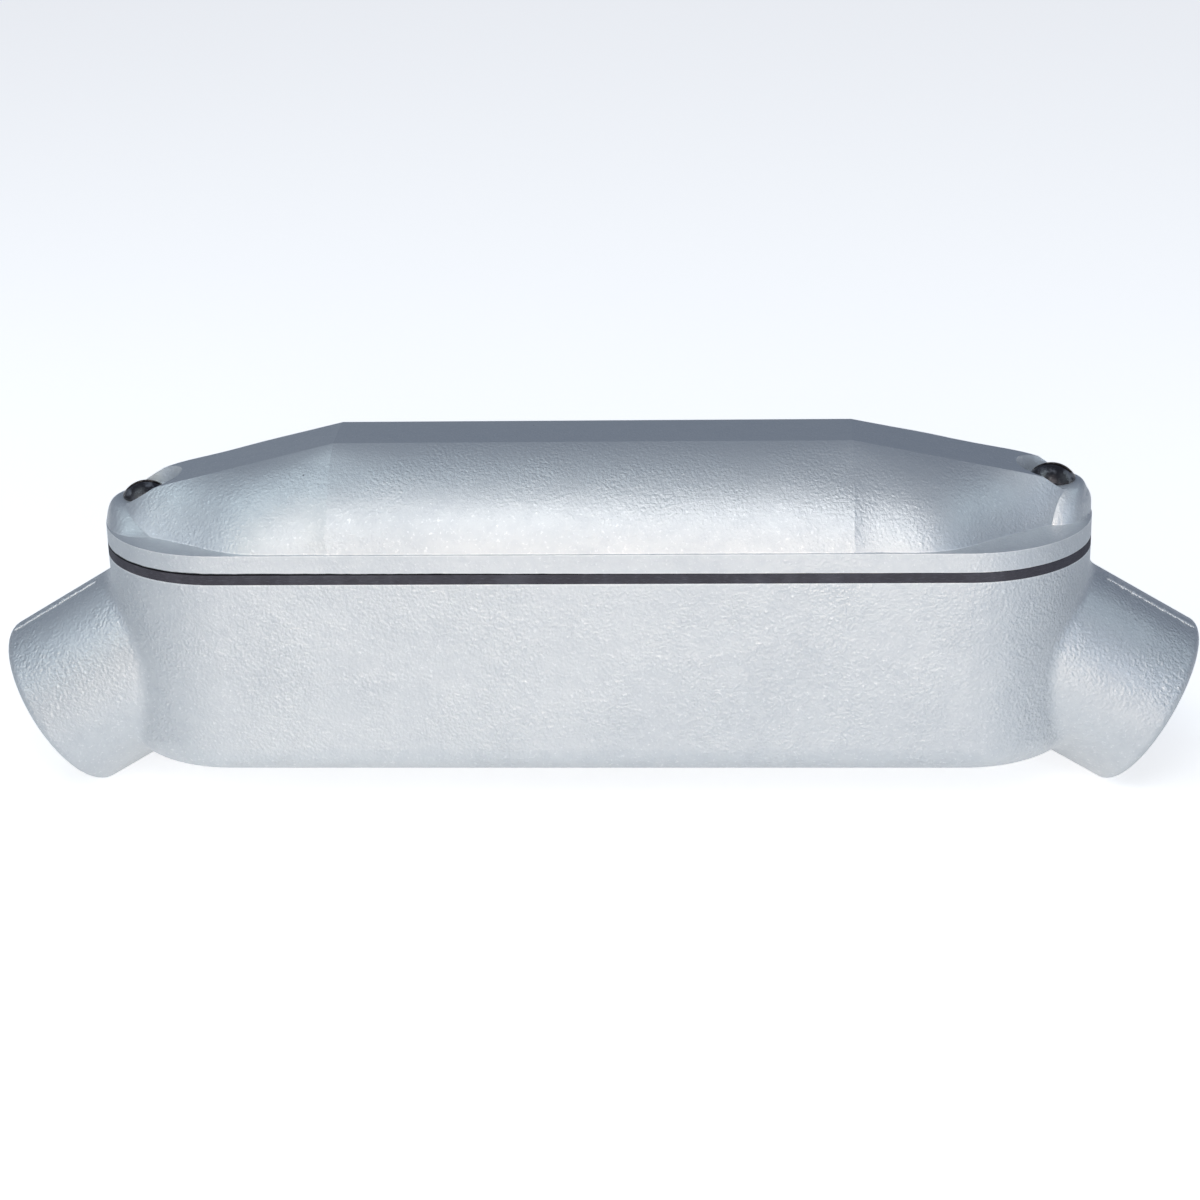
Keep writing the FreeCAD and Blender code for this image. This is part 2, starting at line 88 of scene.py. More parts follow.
def node_group(name, inputs, outputs):
    """Empty shader node group; inputs and outputs are (name, socket kind, default)."""
    group = bpy.data.node_groups.new(name, "ShaderNodeTree")
    for direction, sockets in (("INPUT", inputs), ("OUTPUT", outputs)):
        for label, kind, default in sockets:
            socket = group.interface.new_socket(
                label, in_out=direction, socket_type=f"NodeSocket{kind}"
            )
            if default is not None:
                socket.default_value = default
    start = group.nodes.new("NodeGroupInput")
    end = group.nodes.new("NodeGroupOutput")
    return group, start.outputs, end.inputs


def feed(tree, socket, value):
    """Sets a socket to a constant, or links it to the output that feeds it."""
    if isinstance(value, bpy.types.NodeSocket):
        tree.links.new(value, socket)
    else:
        socket.default_value = value


def math_node(tree, operation, *values, clamp=False):
    """Math node in a tree; each value is a number or the output that feeds it."""
    node = tree.nodes.new("ShaderNodeMath")
    node.operation = operation
    node.use_clamp = clamp
    for socket, value in zip(node.inputs, values):
        feed(tree, socket, value)
    return node.outputs[0]


def vector_node(tree, operation, *values, scale=None):
    """Vector math node in a tree; returns its vector output and its value output."""
    node = tree.nodes.new("ShaderNodeVectorMath")
    node.operation = operation
    for socket, value in zip(node.inputs, values):
        feed(tree, socket, value)
    if scale is not None:
        feed(tree, node.inputs["Scale"], scale)
    return node.outputs[0], node.outputs[1]


def split_place(tree, place):
    """The X, Y and Z of a place in a tree."""
    node = tree.nodes.new("ShaderNodeSeparateXYZ")
    tree.links.new(place, node.inputs["Vector"])
    return node.outputs["X"], node.outputs["Y"], node.outputs["Z"]


def noise_node(tree, place, scale, detail, roughness):
    """Noise texture at a place; scale is in features to the metre."""
    node = tree.nodes.new("ShaderNodeTexNoise")
    tree.links.new(place, node.inputs["Vector"])
    feed(tree, node.inputs["Scale"], scale)
    node.inputs["Detail"].default_value = detail
    node.inputs["Roughness"].default_value = roughness
    return node.outputs["Fac"]


def ramp_between(tree, value, low, high, smooth=True):
    """Map range from low..high to 0..1, clamped."""
    node = tree.nodes.new("ShaderNodeMapRange")
    node.interpolation_type = "SMOOTHSTEP" if smooth else "LINEAR"
    node.clamp = True
    tree.links.new(value, node.inputs["Value"])
    feed(tree, node.inputs["From Min"], low)
    feed(tree, node.inputs["From Max"], high)
    return node.outputs["Result"]


def colour_mix(tree, mask, first, second):
    """Mix of two colours by a mask; a colour is a tuple or the output that feeds it."""
    node = tree.nodes.new("ShaderNodeMix")
    node.data_type = "RGBA"
    tree.links.new(mask, node.inputs["Factor"])
    feed(tree, node.inputs[6], first)
    feed(tree, node.inputs[7], second)
    return node.outputs[2]


def sand_skin():
    """Sand-cast skin under paint: rounded grains, a finer tooth and slow waviness."""
    group, given, result = node_group(
        "sand_skin",
        [("Place", "Vector", None), ("Grain per metre", "Float", 1000.0), ("Grain", "Float", 1.0),
         ("Tooth", "Float", 0.35), ("Waviness", "Float", 0.30)],
        [("Height", "Float", None), ("Glint", "Float", None)],
    )
    cells = group.nodes.new("ShaderNodeTexVoronoi")
    cells.feature = "SMOOTH_F1"
    cells.inputs["Smoothness"].default_value = 0.8
    group.links.new(given["Place"], cells.inputs["Vector"])
    group.links.new(given["Grain per metre"], cells.inputs["Scale"])
    patch = noise_node(group, given["Place"], 46.0, 3.0, 0.6)
    coarse = noise_node(group, given["Place"], given["Grain per metre"], 2.0, 0.55)
    fine_scale = math_node(group, "MULTIPLY", given["Grain per metre"], 3.1)
    fine = noise_node(group, given["Place"], fine_scale, 2.0, 0.6)
    slow = noise_node(group, given["Place"], 85.0, 2.0, 0.5)
    crowns = math_node(group, "SUBTRACT", 1.0, cells.outputs["Distance"])
    coarse_lumps = math_node(group, "MULTIPLY", coarse, 0.9)
    lumps = math_node(group, "MULTIPLY_ADD", crowns, 0.55, coarse_lumps)
    strength = ramp_between(group, patch, 0.30, 0.72)
    strength = math_node(group, "MULTIPLY_ADD", strength, 0.75, 0.35)
    lumps = math_node(group, "MULTIPLY", lumps, strength)
    lumps = math_node(group, "MULTIPLY", lumps, given["Grain"])
    height = math_node(group, "MULTIPLY_ADD", fine, given["Tooth"], lumps)
    height = math_node(group, "MULTIPLY_ADD", slow, given["Waviness"], height)
    group.links.new(height, result["Height"])
    # Glint marks the crowns of the grains, which get a painted highlight in their colour and less
    # roughness.
    group.links.new(ramp_between(group, coarse, 0.58, 0.74), result["Glint"])
    return group


def paint_tone():
    """Aluminium paint's uneven tone: broad clouds, small mottling and rare dark specks."""
    group, given, result = node_group(
        "paint_tone",
        [("Place", "Vector", None), ("Paint", "Color", PAINT_GREY), ("Shade", "Color", PAINT_SHADE),
         ("Speck", "Color", (0.23, 0.24, 0.26, 1)), ("Cloud amount", "Float", 0.5),
         ("Mottle amount", "Float", 0.3)],
        [("Color", "Color", None), ("Uneven", "Float", None)],
    )
    clouds = ramp_between(group, noise_node(group, given["Place"], 14.0, 3.0, 0.55), 0.38, 0.70)
    mottle = ramp_between(group, noise_node(group, given["Place"], 240.0, 3.0, 0.6), 0.40, 0.68)
    clouds = math_node(group, "MULTIPLY", clouds, given["Cloud amount"])
    amount = math_node(group, "MULTIPLY_ADD", mottle, given["Mottle amount"], clouds, clamp=True)
    tone = colour_mix(group, amount, given["Paint"], given["Shade"])
    specks = group.nodes.new("ShaderNodeTexVoronoi")
    specks.inputs["Scale"].default_value = 110.0
    group.links.new(given["Place"], specks.inputs["Vector"])
    rare = noise_node(group, given["Place"], 60.0, 1.0, 0.5)
    dots = ramp_between(group, specks.outputs["Distance"], 0.050, 0.025)
    dots = math_node(group, "MULTIPLY", dots, ramp_between(group, rare, 0.62, 0.66))
    group.links.new(colour_mix(group, dots, tone, given["Speck"]), result["Color"])
    group.links.new(amount, result["Uneven"])
    return group


def level_rub():
    """Paint rubbed along a level edge: a broken band just below a given height."""
    group, given, result = node_group(
        "level_rub",
        [("Place", "Vector", None), ("Height", "Float", 0.0), ("Width", "Float", 0.001),
         ("Broken", "Float", 0.5)],
        [("Mask", "Float", None)],
    )
    _, _, level = split_place(group, given["Place"])
    below = math_node(group, "SUBTRACT", given["Height"], level)
    near = math_node(group, "DIVIDE", math_node(group, "ABSOLUTE", below), given["Width"])
    band = ramp_between(group, near, 1.0, 0.15)
    chips = ramp_between(group, noise_node(group, given["Place"], 160.0, 4.0, 0.65), 0.36, 0.60)
    chips = math_node(group, "SUBTRACT", chips, 1.0)
    kept = math_node(group, "MULTIPLY_ADD", chips, given["Broken"], 1.0)
    group.links.new(math_node(group, "MULTIPLY", band, kept, clamp=True), result["Mask"])
    return group


SAND_SKIN = sand_skin()
PAINT_TONE = paint_tone()
LEVEL_RUB = level_rub()


def new_material(name):
    """Material with one Principled shader; returns it, its tree, shader and place."""
    material = bpy.data.materials.new(name)
    material.use_nodes = True
    tree = material.node_tree
    shader = tree.nodes["Principled BSDF"]
    place = tree.nodes.new("ShaderNodeTexCoord").outputs["Object"]
    return material, tree, shader, place


def use_group(tree, group, place, **values):
    """Instance of a shader group in a material, with its own values."""
    node = tree.nodes.new("ShaderNodeGroup")
    node.node_tree = group
    tree.links.new(place, node.inputs["Place"])
    for label, value in values.items():
        node.inputs[label].default_value = value
    return node.outputs


def surface(tree, shader, colour, roughness, height, bump):
    """Feeds a shader its colour, its roughness and a bump.

    The bump stands height times bump metres above the skin.
    """
    node = tree.nodes.new("ShaderNodeBump")
    node.inputs["Strength"].default_value = 1.0
    node.inputs["Distance"].default_value = bump
    tree.links.new(height, node.inputs["Height"])
    tree.links.new(node.outputs["Normal"], shader.inputs["Normal"])
    tree.links.new(colour, shader.inputs["Base Color"])
    tree.links.new(roughness, shader.inputs["Roughness"])


def coat(node, material):
    """Gives a node from the frame one material in place of what it had."""
    node.data.materials.clear()
    node.data.materials.append(material)


def painted_casting(name, paint, shade, rubs, grain):
    """Aluminium-painted sand casting, rubbed along its level edges.

    A rub is the height of an edge, the width of its band and how broken it is.
    Returns the material, its tree, shader and place, then the height of the skin,
    the colour and the roughness, which the caller feeds to the shader.
    """
    material, tree, shader, place = new_material(name)
    skin = use_group(tree, SAND_SKIN, place, Grain=grain)
    tone = use_group(tree, PAINT_TONE, place, Paint=paint, Shade=shade)
    rubbed = None
    for height, width, broken in rubs:
        band = use_group(tree, LEVEL_RUB, place, Height=height, Width=width, Broken=broken)["Mask"]
        rubbed = band if rubbed is None else math_node(tree, "MAXIMUM", rubbed, band)
    colour = colour_mix(tree, rubbed, tone["Color"], PAINT_RUBBED)
    # The crowns of the grains are glossier, and their colour is lightened towards a glint colour as
    # a painted highlight.
    painted_glints = math_node(tree, "MULTIPLY", skin["Glint"], 0.45)
    colour = colour_mix(tree, painted_glints, colour, PAINTED_GLINT_HIGHLIGHT)
    gloss = math_node(tree, "MULTIPLY_ADD", skin["Glint"], -0.15, PAINT_ROUGHNESS)
    gloss = math_node(tree, "MULTIPLY_ADD", tone["Uneven"], 0.08, gloss)
    shader.inputs["Metallic"].default_value = PAINT_METALLIC
    return material, tree, shader, place, skin["Height"], colour, gloss


def body_paint():
    """The body's paint, with bright turned metal inside the two bores."""
    material, tree, shader, place, height, colour, gloss = painted_casting(
        "body_paint", PAINT_GREY, PAINT_SHADE, [(seat_height, RUB_WIDTH, RUB_BROKEN)], grain=2.5
    )
    # Folding X over the middle lets one hub's axis serve both.
    x, y, z = split_place(tree, place)
    folded = tree.nodes.new("ShaderNodeCombineXYZ")
    tree.links.new(math_node(tree, "ABSOLUTE", x), folded.inputs["X"])
    tree.links.new(y, folded.inputs["Y"])
    tree.links.new(z, folded.inputs["Z"])
    axis = tuple(mount_right["axis"])
    offset, _ = vector_node(
        tree, "SUBTRACT", folded.outputs["Vector"], tuple(mount_right["pos_m"])
    )
    _, along = vector_node(tree, "DOT_PRODUCT", offset, axis)
    axial, _ = vector_node(tree, "SCALE", axis, scale=along)
    radial, _ = vector_node(tree, "SUBTRACT", offset, axial)
    _, radius = vector_node(tree, "LENGTH", radial)
    edge = hub_thread_radius + BORE_MARGIN
    inside = ramp_between(tree, radius, edge, edge - BORE_EASING)
    near_mouth = ramp_between(tree, along, -BORE_DEPTH, -BORE_DEPTH + 0.001)
    bored = math_node(tree, "MULTIPLY", inside, near_mouth)
    rings = math_node(tree, "SINE", math_node(tree, "MULTIPLY", along, TURNED_RINGS))
    colour = colour_mix(tree, bored, colour, BORE_METAL)
    gloss = math_node(tree, "MULTIPLY_ADD", bored, -0.16, gloss)
    cast = math_node(tree, "MULTIPLY", height, math_node(tree, "SUBTRACT", 1.0, bored))
    turned = math_node(tree, "MULTIPLY", math_node(tree, "MULTIPLY", rings, bored), 0.06)
    surface(tree, shader, colour, gloss, math_node(tree, "ADD", cast, turned), PAINT_BUMP)
    return material


coat(body_node, body_paint())

# ---------------------------------------------------------------------------
# Parting flash.  Where the two halves of the mould met, a thin fin of metal is
# left along the top of each hub, ground down unevenly and painted over.
# ---------------------------------------------------------------------------
FLASH_HALF_WIDTH = 0.00075
FLASH_HEIGHT = 0.00038
FLASH_LEAN = math.radians(6)
FLASH_BUMP = 0.00015
FLASH_KEEL = 0.0006
FLASH_DRIFT = 0.00035
FLASH_STARTS = 0.0370
FLASH_ENDS = 0.0030
HUB_PAST_MOUTH = 0.0015
FLASH_STEPS = 260
FLASH_SPOKES = 8
MERGE_DISTANCE = 1e-7


def mesh_piece(name, points, quads):
    """Piece from points and four-cornered faces: doubles merged, closed and smooth."""
    mesh = bpy.data.meshes.new(name)
    mesh.from_pydata(points.tolist(), [], quads.tolist())
    work = bmesh.new()
    work.from_mesh(mesh)
    bmesh.ops.remove_doubles(work, verts=work.verts, dist=MERGE_DISTANCE)
    open_edges = [edge for edge in work.edges if edge.is_boundary]
    if open_edges:
        bmesh.ops.holes_fill(work, edges=open_edges, sides=0)
    bmesh.ops.recalc_face_normals(work, faces=work.faces)
    work.to_mesh(mesh)
    work.free()
    mesh.shade_smooth()
    piece = bpy.data.objects.new(name, mesh)
    bpy.context.scene.collection.objects.link(piece)
    return piece


def parting_flash(name, start, finish, outward, seed):
    """Fin along a line: half-width and height times one plus a random wave plus lumps.

    The section is a closed ring of eight points, half an ellipse above the skin and
    half of one below it as a keel in the metal; both ends shrink to a point.
    """
    rng = np.random.default_rng(seed)
    run = np.linspace(0.0, 1.0, FLASH_STEPS)
    start, finish, outward = (np.array(item, float) for item in (start, finish, outward))
    length = np.linalg.norm(finish - start)
    across = np.cross(finish - start, outward) / length
    waves = sum(
        rng.uniform(0.5, 1.0) * np.sin(2 * np.pi * (count * run + rng.uniform()))
        for count in (3, 7, 12, 21, 34)
    ) / 2.6
    lumps = np.zeros(FLASH_STEPS)
    for middle, width in zip(rng.uniform(0.06, 0.94, 7), rng.uniform(0.006, 0.014, 7)):
        lumps += rng.uniform(0.5, 1.3) * np.exp(-(((run - middle) / width) ** 2))
    ends = np.clip(np.minimum(run, 1 - run) / 0.02, 0, 1) ** 0.5
    wide = FLASH_HALF_WIDTH * (1 + 0.30 * waves + 0.6 * lumps) * ends
    high = FLASH_HEIGHT * (1 + 0.45 * waves + 0.8 * lumps) * ends
    drift = FLASH_DRIFT * waves
    turn = np.linspace(0, 2 * np.pi, FLASH_SPOKES, endpoint=False)
    side = np.cos(turn)[None, :] * wide[:, None] + drift[:, None]
    rise = np.sin(turn)[None, :]
    rise = np.where(rise > 0, rise * high[:, None], rise * FLASH_KEEL * ends[:, None])
    centre = start + (finish - start) * run[:, None]
    rings = centre[:, None, :] + across * side[..., None] + outward * rise[..., None]
    points = rings.reshape(-1, 3)
    step, spoke = np.meshgrid(
        np.arange(FLASH_STEPS - 1), np.arange(FLASH_SPOKES), indexing="ij"
    )
    here, ahead = step * FLASH_SPOKES, (step + 1) * FLASH_SPOKES
    following = (spoke + 1) % FLASH_SPOKES
    corners = [here + spoke, ahead + spoke, ahead + following, here + following]
    quads = np.stack(corners, axis=-1).reshape(-1, 4)
    return mesh_piece(name, points, quads)


(
    flash_material, flash_tree, flash_shader, _, flash_height, flash_colour, flash_gloss
) = painted_casting(
    "flash_paint", PAINT_RUBBED, PAINT_GREY, [(seat_height, RUB_WIDTH, RUB_BROKEN)], grain=0.6
)
surface(flash_tree, flash_shader, flash_colour, flash_gloss, flash_height, FLASH_BUMP)

for side, mount, seed in (("left", mount_left, 3), ("right", mount_right, 11)):
    axis = Vector(mount["axis"])
    up = Vector((axis.x, 0, 0)).normalized() * abs(axis.z) + Vector((0, 0, abs(axis.x)))
    up = up * math.cos(FLASH_LEAN) + Vector((0, -1, 0)) * math.sin(FLASH_LEAN)
    mouth = Vector(mount["pos_m"]) + axis * (mount["dims"]["length_mm"] / 2000 + HUB_PAST_MOUTH)
    crest = mouth + up * HUB_RADIUS
    flash = parting_flash(
        f"hub_flash_{side}", crest - axis * FLASH_STARTS, crest - axis * FLASH_ENDS, up, seed
    )
    flash.data.materials.append(flash_material)
    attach(flash, "root")

# ---------------------------------------------------------------------------
# Cover casting.  A hollow dome in the same cast aluminium and paint, with its
# flange resting on the gasket all round and a flat landing for each screw.
# ---------------------------------------------------------------------------
cover_node = frame["nodes"]["cover_casting"]
cover_low, cover_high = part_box("cover_casting")
FLANGE_THICKNESS = 0.0065
flange_top = cover_low.z + FLANGE_THICKNESS
# Colour of the painted shadow, with dirt, in the gap under the flange's lowest edge.
UNDERCUT_SHADOW_AND_DIRT = (0.012, 0.011, 0.015, 1)
BEND_REACH = 0.083
BEND_EASING = 0.026
BEND_SLOPE = 0.23
STRIP_HALF_WIDTH = 0.011
STRIP_EASING = 0.016


def undercut_shadow_mask(tree, place):
    """Mask of the painted shadow and dirt on the flange's lowest edge: 1 below a gap
    that widens towards the left.

    The gap is a straight line along X times a random wobble.
    """
    x, _, z = split_place(tree, place)
    leftward = ramp_between(tree, x, 0.060, -0.135)
    gap = math_node(tree, "MULTIPLY_ADD", leftward, 0.00050, 0.00018)
    wobble = noise_node(tree, place, 130.0, 3.0, 0.6)
    gap = math_node(tree, "MULTIPLY", gap, math_node(tree, "MULTIPLY_ADD", wobble, 0.9, 0.55))
    raised = math_node(tree, "SUBTRACT", z, cover_low.z)
    return ramp_between(tree, math_node(tree, "DIVIDE", raised, gap), 1.25, 0.75)


def bend_hollow(tree, place):
    """Height that rounds off the dome's two bends, in units of PAINT_BUMP.

    Minus the bend's slope times the easing over four, times the square of how near
    the bend is, times a power of the height up the dome, times the distance off the
    flat strip.
    """
    x, y, z = split_place(tree, place)
    away = math_node(tree, "SUBTRACT", math_node(tree, "ABSOLUTE", x), BEND_REACH)
    away = math_node(tree, "DIVIDE", math_node(tree, "ABSOLUTE", away), BEND_EASING)
    near = math_node(tree, "SUBTRACT", 1.0, away, clamp=True)
    near = math_node(tree, "MULTIPLY", near, near)
    up_dome = ramp_between(tree, z, flange_top, cover_high.z, smooth=False)
    up_dome = math_node(tree, "POWER", up_dome, 2.2)
    sideways = math_node(tree, "ABSOLUTE", y)
    off_strip = ramp_between(tree, sideways, STRIP_HALF_WIDTH, STRIP_HALF_WIDTH + STRIP_EASING)
    where = math_node(tree, "MULTIPLY", near, math_node(tree, "MULTIPLY", up_dome, off_strip))
    return math_node(tree, "MULTIPLY", where, -BEND_SLOPE * BEND_EASING / 4 / PAINT_BUMP)


def cover_paint():
    """The cover's paint.

    The flange's lowest edge is undercut, more so at the left end, and a painted shadow
    with dirt there draws a dark line over the gasket.  The dome bends down where its
    ends begin; the cast metal rounds that bend off along the sides, most at the top,
    and leaves it sharp across the flat strip.
    """
    material, tree, shader, place, height, colour, gloss = painted_casting(
        "cover_paint", PAINT_GREY, PAINT_SHADE,
        [(flange_top, 0.0005, 0.35), (cover_low.z, 0.0006, 0.75)], grain=1.15,
    )
    # Painted shadow and dirt: the colour darkens along the flange's lowest edge, over the gasket.
    undercut = undercut_shadow_mask(tree, place)
    colour = colour_mix(tree, undercut, colour, UNDERCUT_SHADOW_AND_DIRT)
    gloss = math_node(tree, "MULTIPLY_ADD", undercut, 0.4, gloss)
    height = math_node(tree, "ADD", height, bend_hollow(tree, place))
    surface(tree, shader, colour, gloss, height, PAINT_BUMP)
    return material


cover_material = cover_paint()
coat(cover_node, cover_material)

# ---------------------------------------------------------------------------
# Screw bosses.  At each end the dome, the ledge of the flange and the boss round
# the screw run into one another in the cast metal, like the bow of a boat.
# ---------------------------------------------------------------------------
FLANGE_END_RADIUS = 0.041
FLANGE_END_CENTRE = 0.119
BOSS_CORE = 0.0070
BOSS_HALF_TURN = 128.0
BOSS_SHOULDER_TURN = 92.0
BOSS_SPOKES = 150
BOSS_ROWS = 44
BOSS_INSET = 0.00005
BOSS_SINK = 0.0001
BOSS_FLOOR = 0.002
SEAT_COVER = 0.0006
SCREW_HEAD_HEIGHT = 0.0054


def screw_boss(name, sign, reach, seat, fullness, limit):
    """Skin of a boss as fans round the screw's axis, closed by a flat floor.

    Over each bearing the height falls from the seat to the flange's top as
    (1 - s to a roundness) to a power, s being the share of the way from the core to
    the foot.  The foot follows the flange's edge at the end and eases to a limit at
    the sides.  The power is a half over the end, a round shoulder, and grows to the
    fullness at the sides, where the foot runs out into the ledge.
    """
    bearing = np.radians(np.linspace(-BOSS_HALF_TURN, BOSS_HALF_TURN, BOSS_SPOKES))
    inset = reach - FLANGE_END_CENTRE
    half_chord = np.sqrt(FLANGE_END_RADIUS**2 - (inset * np.sin(bearing)) ** 2)
    edge = half_chord - inset * np.cos(bearing) - BOSS_INSET
    foot = (edge**-6 + limit**-6) ** (-1 / 6)
    turned = np.clip(np.abs(bearing) / np.radians(BOSS_SHOULDER_TURN), 0, 1)
    turned = turned * turned * (3 - 2 * turned)
    power = 0.5 + (fullness - 0.5) * turned
    roundness = (3.5 - 1.5 * turned)[:, None]
    share = np.sin(np.linspace(0.0, np.pi / 2, BOSS_ROWS))
    distance = BOSS_CORE + (foot[:, None] - BOSS_CORE) * share
    rise = np.clip(1 - share**roundness, 0, 1) ** power[:, None]
    height = flange_top - BOSS_SINK + (seat + SEAT_COVER - flange_top) * rise
    x = sign * (reach + distance * np.cos(bearing)[:, None])
    y = distance * np.sin(bearing)[:, None]
    top = np.stack([x, y, height], axis=-1)
    floor_ring = np.stack([x, y, np.full_like(x, flange_top - BOSS_FLOOR)], axis=-1)
    points = np.concatenate([top.reshape(-1, 3), floor_ring.reshape(-1, 3)])
    index = np.arange(BOSS_SPOKES * BOSS_ROWS).reshape(BOSS_SPOKES, BOSS_ROWS)
    below = index + index.size

    def strip(first, second):
        """Quads between two rows of points."""
        corners = [first[:-1], first[1:], second[1:], second[:-1]]
        return np.stack(corners, axis=-1).reshape(-1, 4)

    quads = np.concatenate([
        strip(index[:, :-1], index[:, 1:]), strip(below[:, 1:], below[:, :-1]),
        strip(index[:, 0], below[:, 0]), strip(index[:, -1], below[:, -1]),
        strip(index[0], below[0]), strip(index[-1], below[-1]),
    ])
    return mesh_piece(name, points, quads)


for side, sign, fullness, limit in (("left", -1, 1.30, 0.0240), ("right", 1, 0.90, 0.0150)):
    screw_low, screw_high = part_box(f"cover_screw_{side}")
    reach = abs(screw_low.x + screw_high.x) / 2
    seat = screw_high.z - SCREW_HEAD_HEIGHT
    boss = screw_boss(f"screw_boss_{side}", sign, reach, seat, fullness, limit)
    boss.data.materials.append(cover_material)
    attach(boss, "root")

# ---------------------------------------------------------------------------
# Gasket.  A flat ring cut from sheet rubber with fibre in it, squeezed between
# the body's rim and the cover, so that only its cut edge shows.
# ---------------------------------------------------------------------------
gasket_node = frame["nodes"]["gasket"]
GASKET_BLACK = (0.046, 0.043, 0.056, 1)
GASKET_DUSTY = (0.135, 0.135, 0.160, 1)
GASKET_BUMP = 0.00018


def gasket_rubber():
    """Black rubber with fibres lying flat in it and dust on the cut edge."""
    material, tree, shader, place = new_material("gasket_rubber")
    stretched, _ = vector_node(tree, "MULTIPLY", place, (1.0, 1.0, 7.0))
    fibres = noise_node(tree, stretched, 520.0, 4.0, 0.65)
    dust = ramp_between(tree, noise_node(tree, place, 90.0, 3.0, 0.6), 0.40, 0.75)
    dust = math_node(tree, "MULTIPLY", dust, 0.4)
    speckle = ramp_between(tree, fibres, 0.50, 0.74)
    dusted = math_node(tree, "MULTIPLY_ADD", speckle, 0.5, dust, clamp=True)
    colour = colour_mix(tree, dusted, GASKET_BLACK, GASKET_DUSTY)
    gloss = math_node(tree, "MULTIPLY_ADD", dusted, 0.15, 0.70)
    surface(tree, shader, colour, gloss, fibres, GASKET_BUMP)
    return material


coat(gasket_node, gasket_rubber())

# ---------------------------------------------------------------------------
# Cover screws.  Slotted steel screws, blackened, whose heads have gone bright
# where a driver and fingers have polished them.
# ---------------------------------------------------------------------------
SCREW_BLACK = (0.085, 0.078, 0.080, 1)
SCREW_BRIGHT = (0.52, 0.51, 0.50, 1)
SCREW_BUMP = 0.00010


def screw_steel():
    """Blackened steel rubbed bright in patches, brushed a little across."""
    material, tree, shader, place = new_material("screw_steel")
    stretched, _ = vector_node(tree, "MULTIPLY", place, (1.0, 1.0, 5.0))
    brushed = noise_node(tree, stretched, 900.0, 3.0, 0.6)
    patina = noise_node(tree, place, 260.0, 4.0, 0.62)
    bright = math_node(tree, "MULTIPLY", ramp_between(tree, patina, 0.46, 0.68), 0.8)
    colour = colour_mix(tree, bright, SCREW_BLACK, SCREW_BRIGHT)
    gloss = math_node(tree, "MULTIPLY_ADD", patina, 0.25, 0.20)
    shader.inputs["Metallic"].default_value = 0.9
    surface(tree, shader, colour, gloss, math_node(tree, "ADD", brushed, patina), SCREW_BUMP)
    return material


screw_material = screw_steel()
for side in ("left", "right"):
    coat(frame["nodes"][f"cover_screw_{side}"], screw_material)

# ---------------------------------------------------------------------------
# Stage.  A plain white floor under the rims of the hubs, lit from within so that
# it stays white behind the part, in a dim blue room with seven softboxes.
# ---------------------------------------------------------------------------
FLOOR_HALF = 6.0
FLOOR_LEVEL = -0.0002
FLOOR_WHITE = (0.86, 0.86, 0.86, 1)
FLOOR_GLOW = 0.40
BACKGROUND_GLOW = 0.66
ROOM_BLUE = (0.105, 0.128, 0.185, 1)
BOX_SIDE = 0.6
BOX_REACH = 1.5
MIDDLE = Vector((0, 0, 0.06))


def floor_white():
    """White floor with a glow: even to the eye, and patterned in what the part mirrors.

    In reflections the glow is brightest before and behind the part, dims past its two
    ends and brightens again far behind.
    """
    material, tree, shader, place = new_material("floor_white")
    shader.inputs["Base Color"].default_value = FLOOR_WHITE
    shader.inputs["Roughness"].default_value = 0.9
    shader.inputs["Specular IOR Level"].default_value = 0.1
    rays = tree.nodes.new("ShaderNodeLightPath").outputs
    mirrored = math_node(
        tree, "ADD", rays["Is Glossy Ray"], rays["Is Transmission Ray"], clamp=True
    )
    x, y, _ = split_place(tree, place)
    past_ends = ramp_between(tree, math_node(tree, "ABSOLUTE", x), 0.17, 0.34)
    beside = ramp_between(tree, math_node(tree, "ABSOLUTE", y), 0.50, 0.15)
    dim = math_node(tree, "MULTIPLY", past_ends, beside)
    bright = math_node(tree, "MULTIPLY_ADD", dim, -0.8 * FLOOR_GLOW, FLOOR_GLOW)
    far_behind = ramp_between(tree, y, 0.10, 1.60)
    bright = math_node(tree, "MULTIPLY_ADD", far_behind, 0.45, bright)
    bright = math_node(tree, "MULTIPLY", bright, mirrored)
    bright = math_node(tree, "MULTIPLY_ADD", rays["Is Camera Ray"], BACKGROUND_GLOW, bright)
    glow = tree.nodes.new("ShaderNodeEmission")
    tree.links.new(bright, glow.inputs["Strength"])
    both = tree.nodes.new("ShaderNodeAddShader")
    tree.links.new(shader.outputs["BSDF"], both.inputs[0])
    tree.links.new(glow.outputs["Emission"], both.inputs[1])
    tree.links.new(both.outputs["Shader"], tree.nodes["Material Output"].inputs["Surface"])
    return material


floor_mesh = bpy.data.meshes.new("floor")
floor_corners = [
    (x * FLOOR_HALF, y * FLOOR_HALF, FLOOR_LEVEL) for x, y in ((-1, -1), (1, -1), (1, 1), (-1, 1))
]
floor_mesh.from_pydata(floor_corners, [], [(0, 1, 2, 3)])
floor = bpy.data.objects.new("floor", floor_mesh)
bpy.context.scene.collection.objects.link(floor)
floor.data.materials.append(floor_white())

world = bpy.data.worlds.new("studio")
bpy.context.scene.world = world
world.use_nodes = True
room = world.node_tree.nodes["Background"].inputs
room["Color"].default_value = ROOM_BLUE
room["Strength"].default_value = 1.0


def outward_from(azimuth, elevation):
    """Direction from the part by radians round from the front and up from level."""
    return Vector((
        math.sin(azimuth) * math.cos(elevation),
        -math.cos(azimuth) * math.cos(elevation),
        math.sin(elevation),
    ))


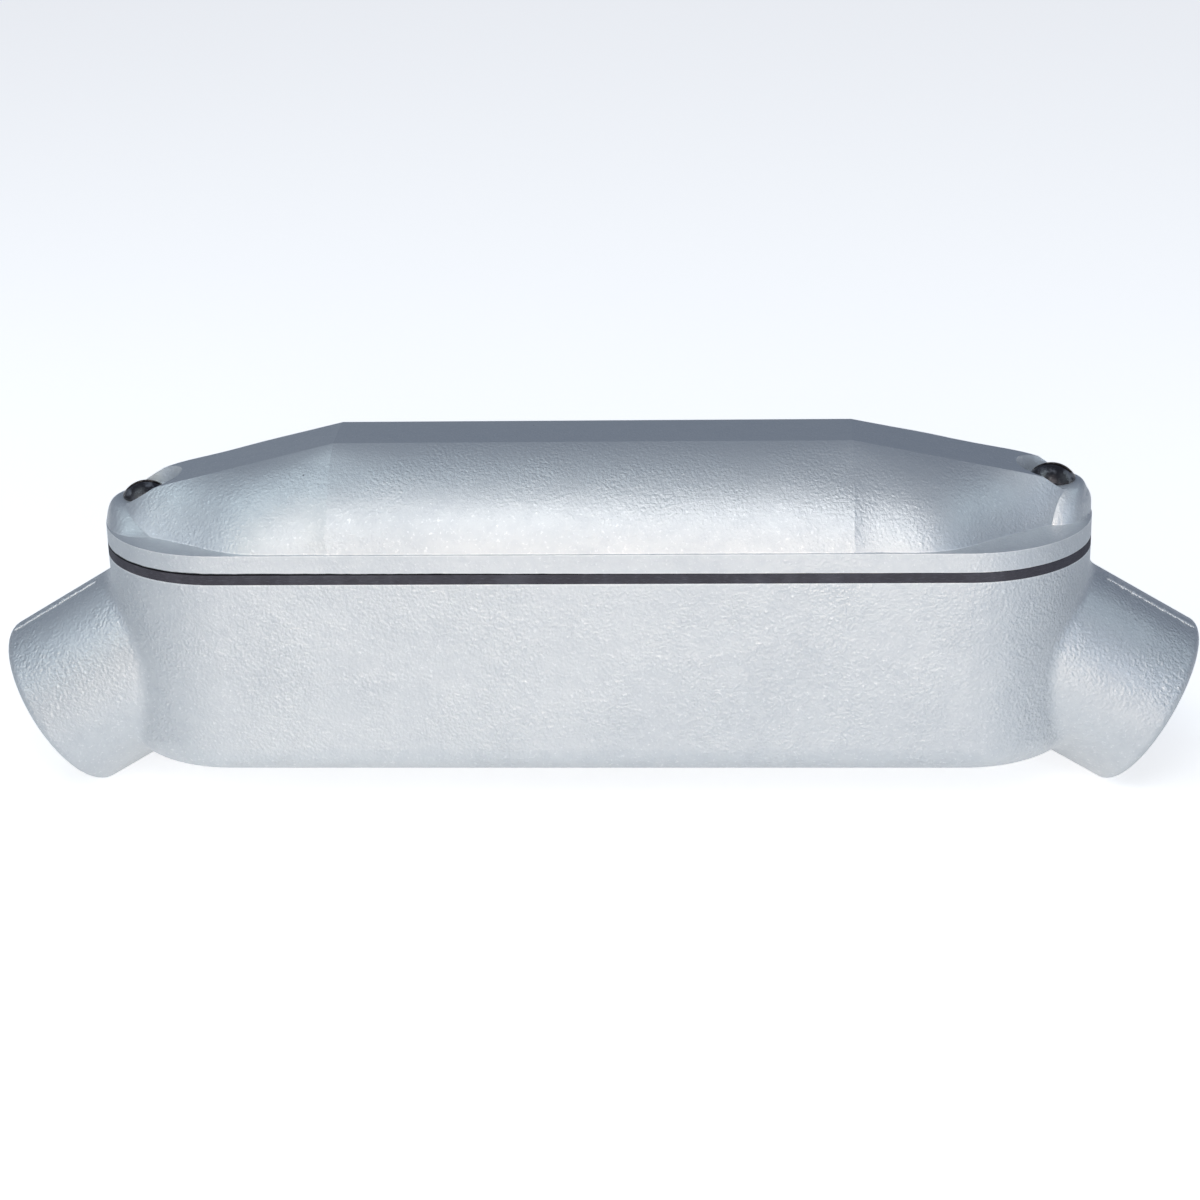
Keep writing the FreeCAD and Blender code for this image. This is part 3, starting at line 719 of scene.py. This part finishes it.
def softbox(name, azimuth, elevation, power, colour):
    """Square area lamp facing the part, placed by degrees round and up."""
    lamp = bpy.data.lights.new(name, "AREA")
    lamp.shape = "RECTANGLE"
    lamp.size = BOX_SIDE
    lamp.size_y = BOX_SIDE
    lamp.energy = power
    lamp.color = colour
    holder = bpy.data.objects.new(name, lamp)
    bpy.context.scene.collection.objects.link(holder)
    away = outward_from(math.radians(azimuth), math.radians(elevation))
    facing = (-away).to_track_quat("-Z", "Y").to_matrix().to_4x4()
    holder.matrix_world = Matrix.Translation(MIDDLE + away * BOX_REACH) @ facing


for name, azimuth, elevation, power, colour in (
    ("low_front", 0, 8, 5.7, (1.0, 0.88, 0.77)),
    ("front", 0, 46, 4.9, (1.0, 1.0, 1.0)),
    ("left", -40, 35, 2.3, (1.0, 0.97, 0.79)),
    ("low_left", -65, 25, 1.9, (0.70, 0.85, 1.0)),
    ("high_left", -85, 60, 2.5, (0.76, 0.94, 1.0)),
    ("low_right", 40, 15, 1.7, (0.62, 0.81, 1.0)),
    ("far_right", 85, 40, 1.3, (0.76, 0.94, 1.0)),
):
    softbox(name, azimuth, elevation, power, colour)

# ---------------------------------------------------------------------------
# Camera.  A long lens about a metre from the part, seen from the front, a little
# to the right and above, and turned a degree and a half about its own line.
# ---------------------------------------------------------------------------
AZIMUTH = math.radians(3.467)
ELEVATION = math.radians(20.94)
ROLL = -0.024666
DISTANCE = 1.02798
LENS = 93.843
SENSOR_WIDTH = 36.0
TARGET = Vector((0.0007, 0.0, 0.0607))

outward = outward_from(AZIMUTH, ELEVATION)
right = (-outward).cross(Vector((0, 0, 1))).normalized()
above = right.cross(-outward)
rolled_right = math.cos(ROLL) * right + math.sin(ROLL) * above
rolled_above = -math.sin(ROLL) * right + math.cos(ROLL) * above
turned = Matrix((rolled_right, rolled_above, outward)).transposed().to_4x4()
camera_data = bpy.data.cameras.new("camera")
camera_data.lens = LENS
camera_data.sensor_width = SENSOR_WIDTH
camera = bpy.data.objects.new("camera", camera_data)
bpy.context.scene.collection.objects.link(camera)
camera.matrix_world = Matrix.Translation(TARGET + outward * DISTANCE) @ turned
bpy.context.scene.camera = camera
bpy.context.scene.view_settings.view_transform = "Standard"
